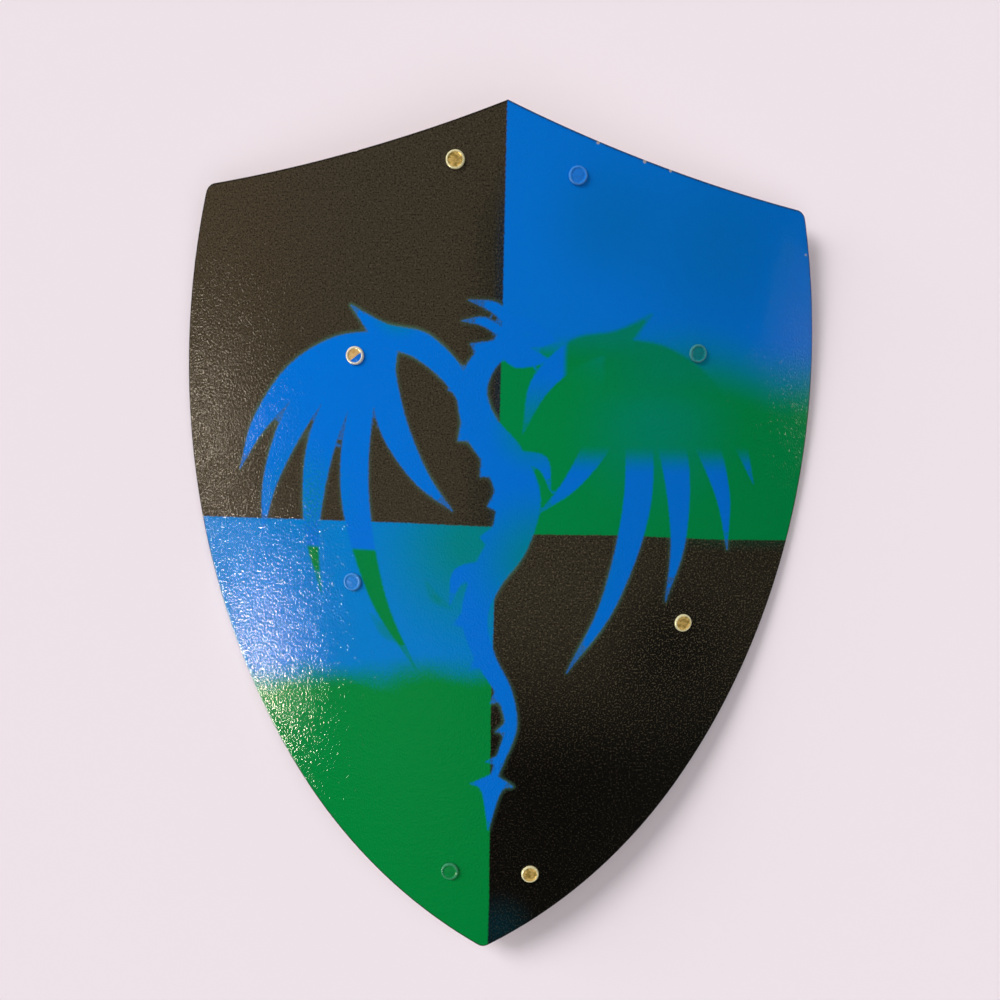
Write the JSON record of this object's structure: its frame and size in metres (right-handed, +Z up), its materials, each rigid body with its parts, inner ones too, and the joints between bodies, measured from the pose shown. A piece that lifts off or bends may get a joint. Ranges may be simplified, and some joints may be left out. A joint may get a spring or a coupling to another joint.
{
  "type": "wooden shield",
  "caption": "Small heater shield of bent plywood, painted in quarters with a stencilled winged dragon, brass rivets and leather arm straps.",
  "frame": {"origin": "on the ground below the middle of the bounding box, with the shield lying face up on its side edges", "axes": "+Z up, out of the painted face; +Y towards the peak; +X to the right when the face is seen with its peak up"},
  "size_m": [0.3196, 0.4278, 0.0427],
  "materials": {
    "painted_board": "gloss paint with an orange-peel texture",
    "rivet_brass": "polished, some painted over",
    "strap_leather": "satin"
  },
  "bodies": {
    "root": {"shield_board": "painted_board", "rivet_peak_left": "rivet_brass", "rivet_peak_right": "rivet_brass", "rivet_hand_strap_top": "rivet_brass", "rivet_hand_strap_bottom": "rivet_brass", "rivet_arm_strap_top": "rivet_brass", "rivet_arm_strap_bottom": "rivet_brass", "rivet_tip_left": "rivet_brass", "rivet_tip_right": "rivet_brass", "hand_strap": "strap_leather", "arm_strap": "strap_leather"}
  },
  "joints": []
}
